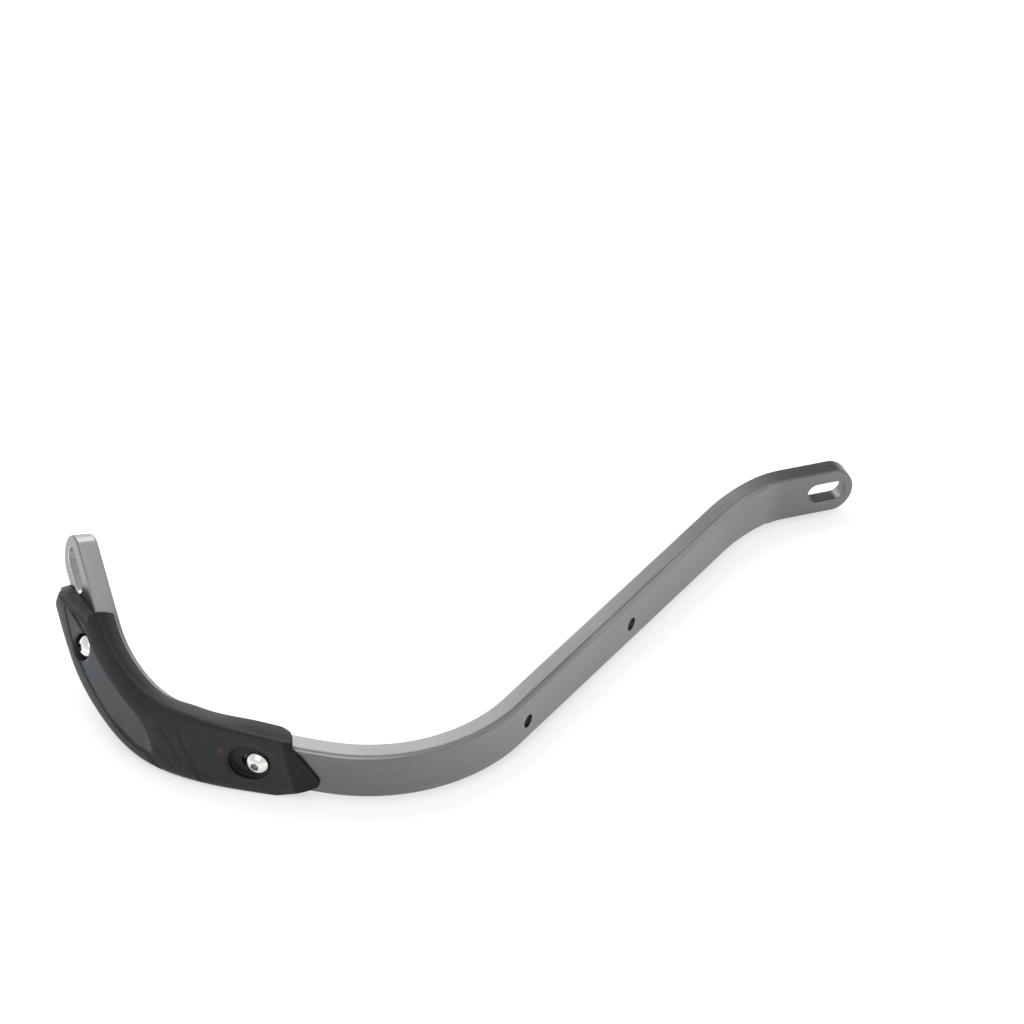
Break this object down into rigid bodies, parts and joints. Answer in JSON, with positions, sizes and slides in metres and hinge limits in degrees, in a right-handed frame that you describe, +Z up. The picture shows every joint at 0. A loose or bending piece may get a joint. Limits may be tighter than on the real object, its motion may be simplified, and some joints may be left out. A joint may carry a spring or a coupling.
{
  "type": "motorcycle hand guard",
  "caption": "Wrap-around hand guard: a bent aluminium bar with slotted mounting tabs and a moulded corner protector held by button-head screws.",
  "frame": {"origin": "middle of the slot in the inner-mount tab, halfway through the bar's thickness and height", "axes": "+Z up with the guard lying on edge as it would rest, +X along the inner-mount tab toward its tip, +Y toward the inner side of the guard, where the rider's hand is"},
  "size_m": [0.3386, 0.1459, 0.0503],
  "materials": {
    "bar_aluminium": "satin, drawn along the bar",
    "protector_plastic": "moulded, soft sheen",
    "screw_steel": "polished"
  },
  "bodies": {
    "root": {"guard_bar": "bar_aluminium", "corner_protector": "protector_plastic", "protector_screw_front": "screw_steel", "protector_screw_rear": "screw_steel"}
  },
  "joints": []
}
